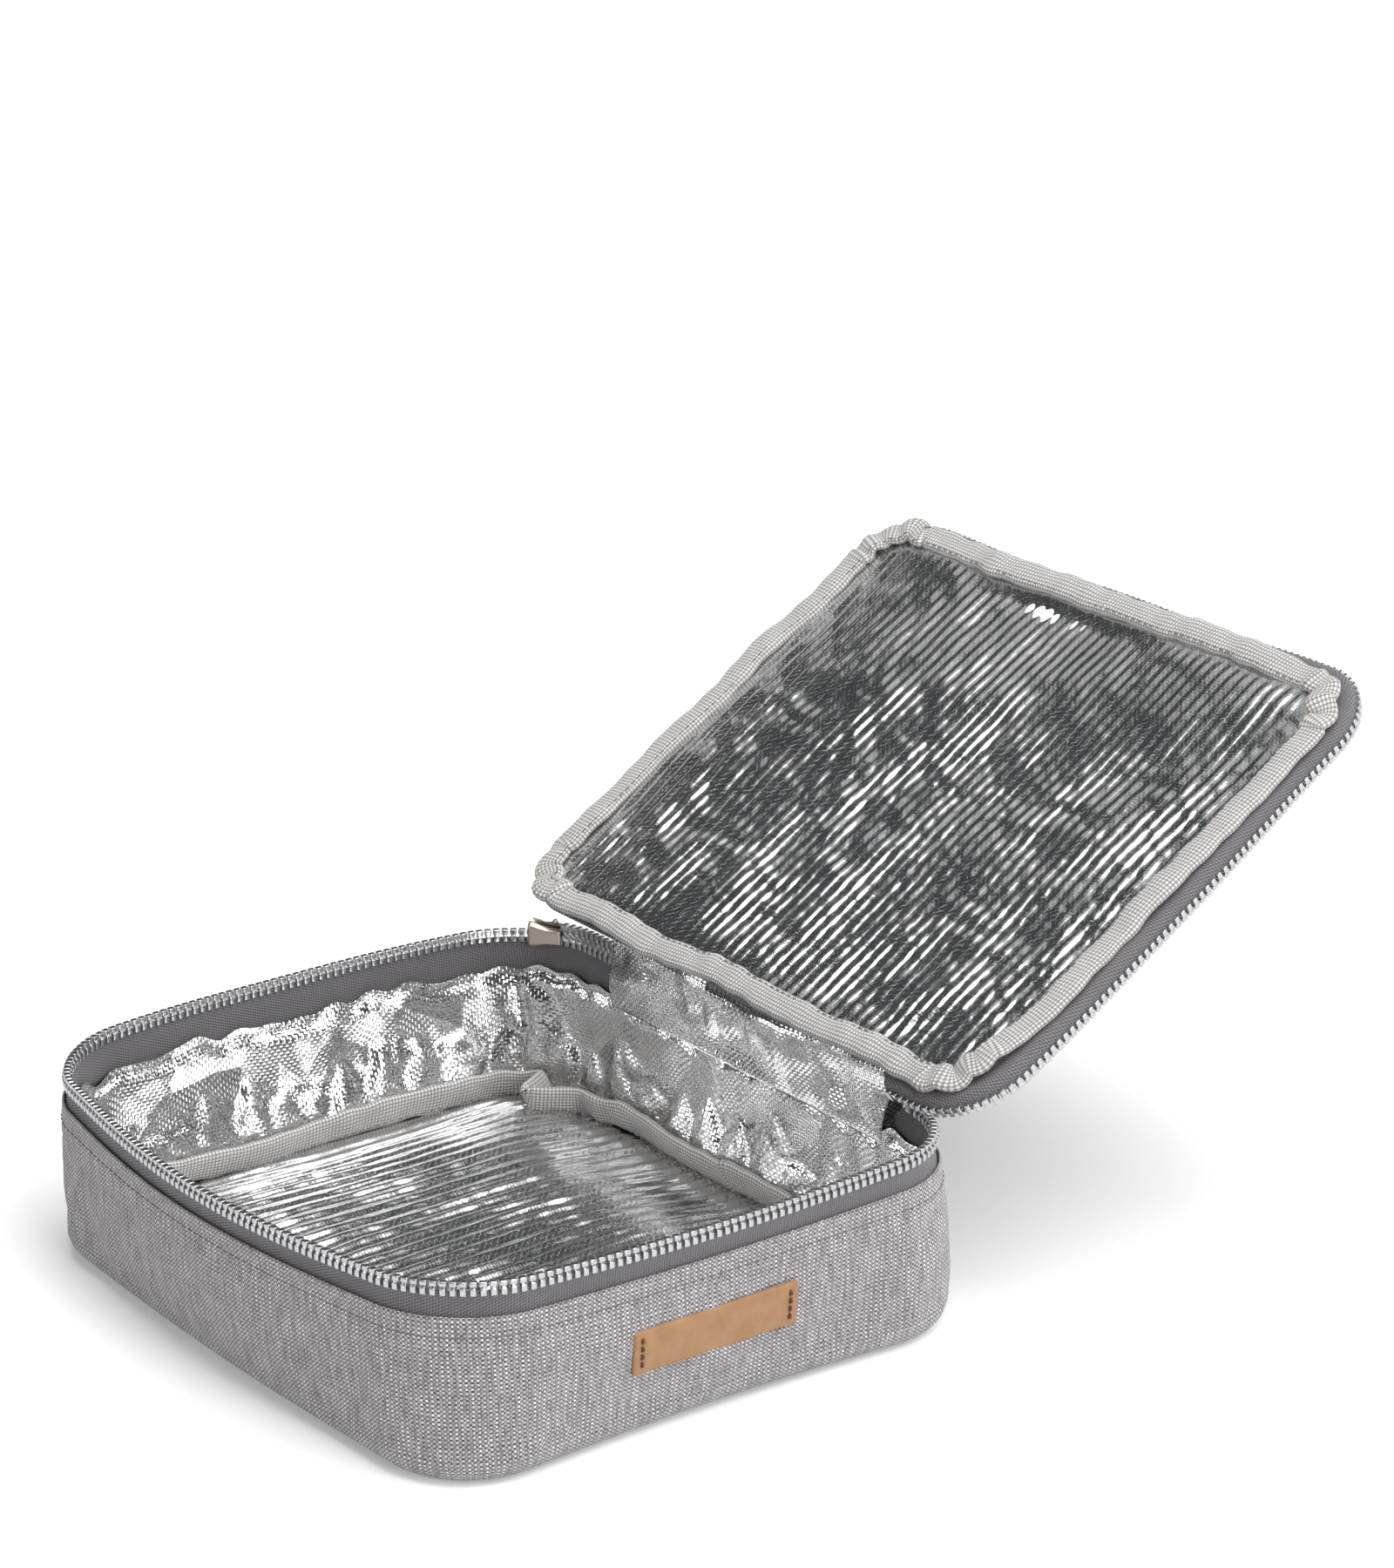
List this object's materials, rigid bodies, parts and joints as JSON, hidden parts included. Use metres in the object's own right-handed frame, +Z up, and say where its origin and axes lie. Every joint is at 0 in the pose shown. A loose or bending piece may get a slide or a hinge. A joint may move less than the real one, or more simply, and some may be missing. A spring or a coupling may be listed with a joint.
{
  "type": "insulated cooler bag",
  "caption": "Low padded cooler bag with a zip-round lid on a cloth hinge, lined with crinkled and ribbed foil, with a leather label on one side.",
  "frame": {"origin": "centre of the flat underside that the bag stands on", "axes": "+X along the cloth hinge towards the labelled side, +Y towards the hinge, +Z up"},
  "size_m": [0.2359, 0.3452, 0.1642],
  "materials": {
    "melange_fabric": "light grey melange plain weave with pale slubs and dark specks",
    "foam": "closed-cell foam sheet",
    "foil": "crinkled aluminised film",
    "ribbed_foil": "aluminised film over ribbed foam",
    "binding_tape": "pale grey woven binding tape",
    "zip_tape": "dark grey twill zip tape",
    "zip_metal": "dull nickel",
    "slider_metal": "satin champagne nickel",
    "leather": "tan leather, matt, with burnished edges",
    "brown_thread": "dark brown waxed thread",
    "grey_thread": "grey sewing thread"
  },
  "bodies": {
    "base": {"base_outer_bottom": "melange_fabric", "base_outer_wall": "melange_fabric", "base_wall_foam": "foam", "base_bottom_foam": "foam", "base_wall_lining": "foil", "base_floor_lining": "ribbed_foil", "base_floor_binding": "binding_tape", "floor_binding_stitch": "grey_thread", "base_rim_topstitch": "grey_thread", "base_zip_tape": "zip_tape", "base_zip_teeth": "zip_metal", "zip_meshed_teeth": "zip_metal", "zip_bottom_stop": "zip_metal", "base_zip_top_stop": "zip_metal", "hinge_outer_fabric": "melange_fabric", "hinge_lining": "foil", "leather_label": "leather", "label_thread_front": "brown_thread", "label_thread_back": "brown_thread"},
    "lid": {"lid_outer_panel": "melange_fabric", "lid_foam": "foam", "lid_lining": "ribbed_foil", "lid_binding": "binding_tape", "lid_binding_stitch": "grey_thread", "lid_zip_tape": "zip_tape"},
    "lid_zip": {"lid_zip_teeth": "zip_metal", "lid_zip_top_stop": "zip_metal"},
    "slider": {"zip_slider_body": "slider_metal", "slider_crown": "slider_metal"},
    "puller": {"puller_ring": "slider_metal", "puller_tab": "slider_metal"}
  },
  "joints": [
    {"name": "lid_hinge", "type": "hinge", "parent": "base", "child": "lid", "pos_m": [0, 0.087, 0.069], "axis": [1, 0, 0], "range_deg": [-42, 148.4], "deforming": ["hinge_outer_fabric", "hinge_lining"]},
    {"name": "lid_zip_turn", "type": "slide", "parent": "lid", "child": "lid_zip", "axis": [0, -0.524, 0.8517], "range_m": [-0.0041, 0.012], "deforming": ["lid_zip_tape", "lid_zip_teeth"]},
    {"name": "slider_run", "type": "hinge", "parent": "base", "child": "slider", "pos_m": [-0.083, 0.062, 0.06], "axis": [0, 0, 1], "range_deg": [0, 46]},
    {"name": "puller_swing", "type": "hinge", "parent": "slider", "child": "puller", "pos_m": [-0.10081, 0.09049, 0.0601], "axis": [0.848, 0.5299, 0], "range_deg": [-6, 75]}
  ],
  "couplings": [
    {"joint": "lid_zip_turn", "follows": "lid_hinge", "m_per_rad": 0.0045945}
  ]
}
